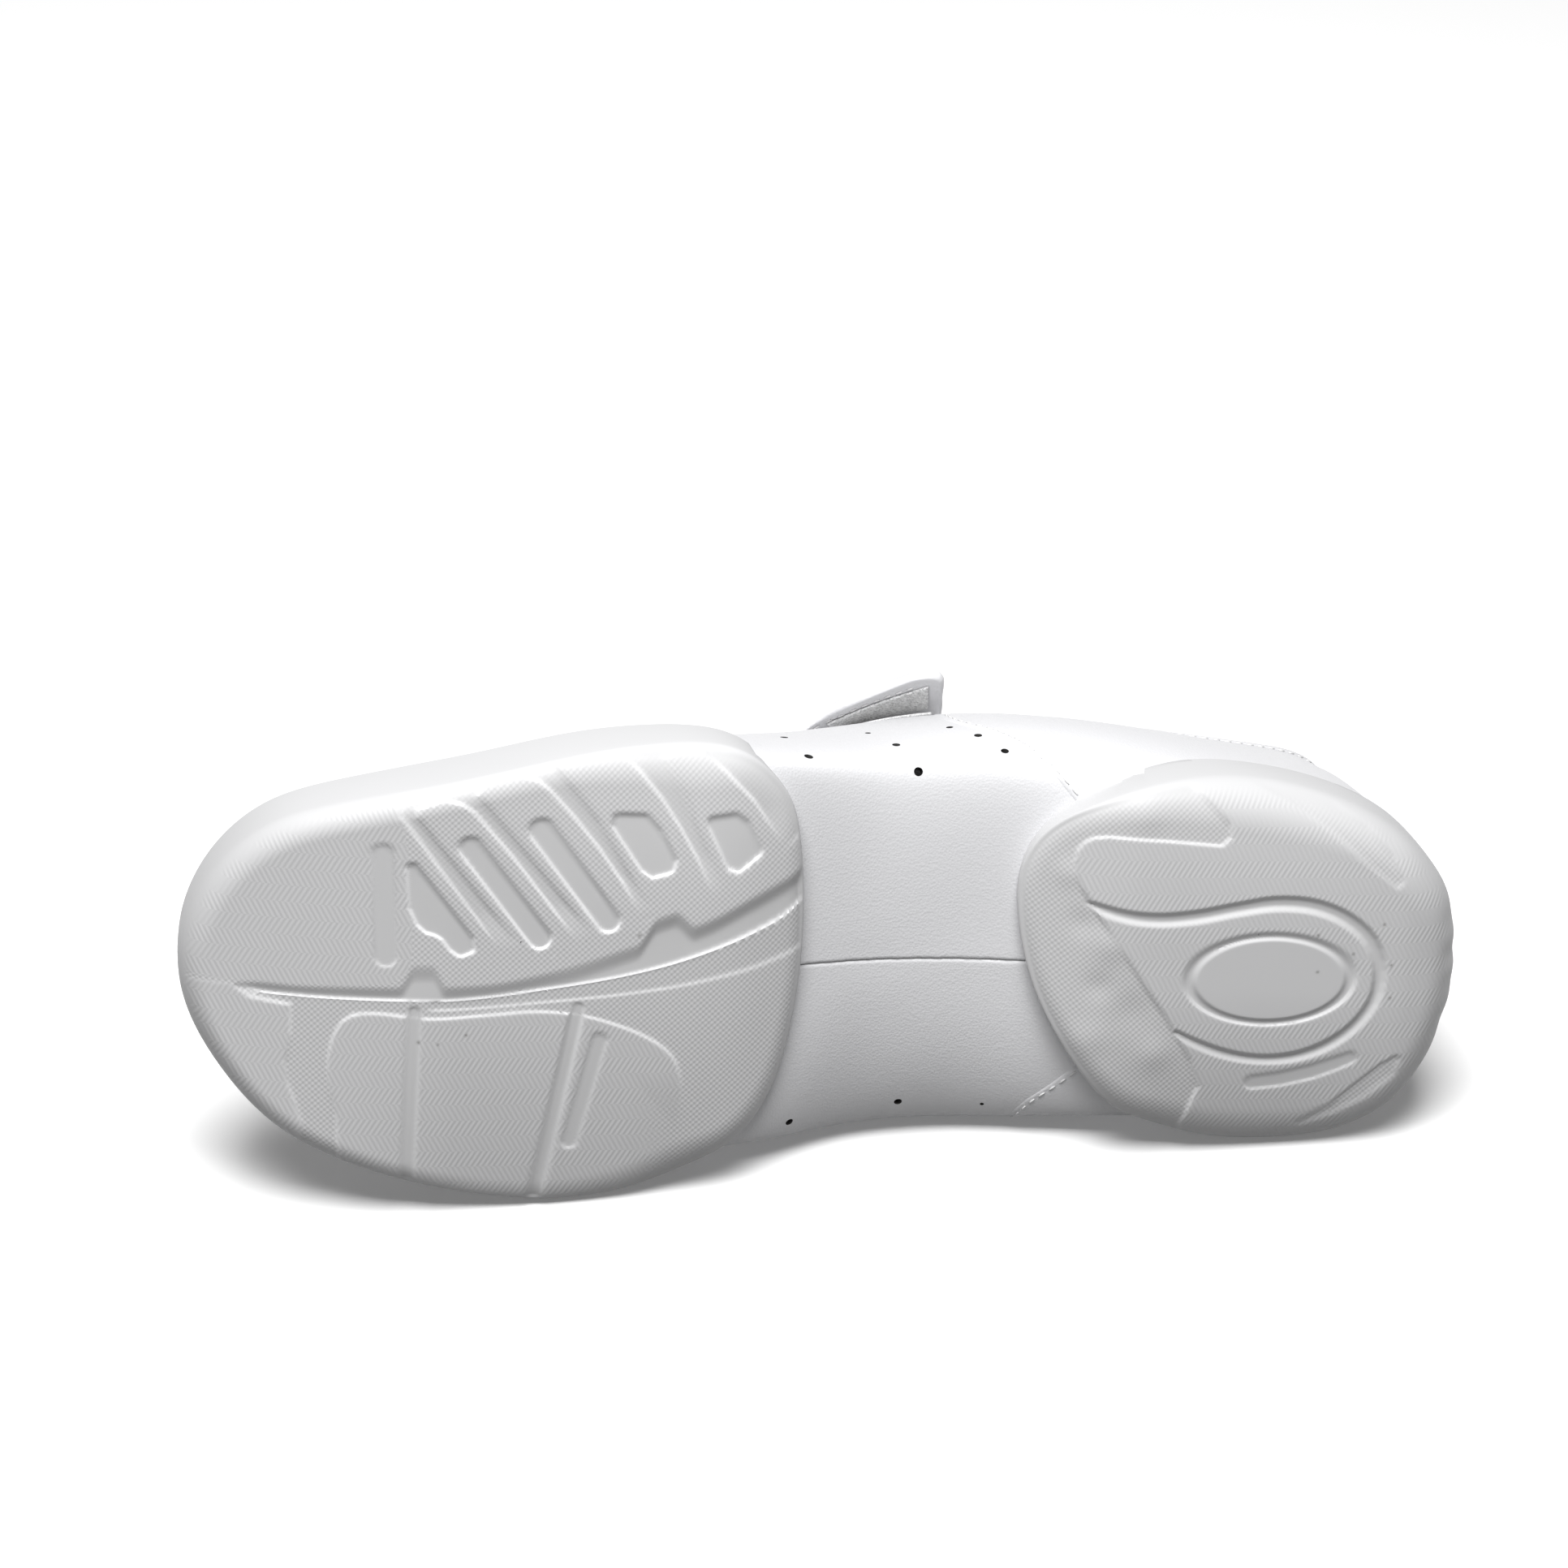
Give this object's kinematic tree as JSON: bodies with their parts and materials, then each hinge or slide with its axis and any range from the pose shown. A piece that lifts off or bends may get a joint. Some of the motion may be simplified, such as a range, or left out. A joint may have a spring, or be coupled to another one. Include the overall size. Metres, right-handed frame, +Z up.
{
  "type": "cheerleading shoe",
  "caption": "White split-sole cheerleading shoe: hollow leather upper with instep strap and heel counter, rubber forefoot and heel units, lying on its inner side.",
  "frame": {"origin": "centre of the base of the bounding box, on the floor that the shoe lies on", "axes": "+X from the toe to the heel, +Y from the tread towards the collar, +Z up from the floor, towards the lateral side"},
  "size_m": [0.2494, 0.0848, 0.0929],
  "materials": {
    "upper_leather": "smooth white leather with a very fine grain, satin",
    "sole_rubber": "moulded off-white rubber, matt, with herringbone and pebble tread",
    "hook_loop_tape": "grey-white hook and loop tape, fuzzy",
    "lining_textile": "pale brushed textile over thin foam"
  },
  "bodies": {
    "root": {"upper": "upper_leather", "heel_counter": "upper_leather", "strap": "upper_leather", "hook_pad": "hook_loop_tape", "loop_patch": "hook_loop_tape", "tongue": "lining_textile", "insole": "lining_textile", "forefoot_sole": "sole_rubber", "heel_sole": "sole_rubber"}
  },
  "joints": []
}
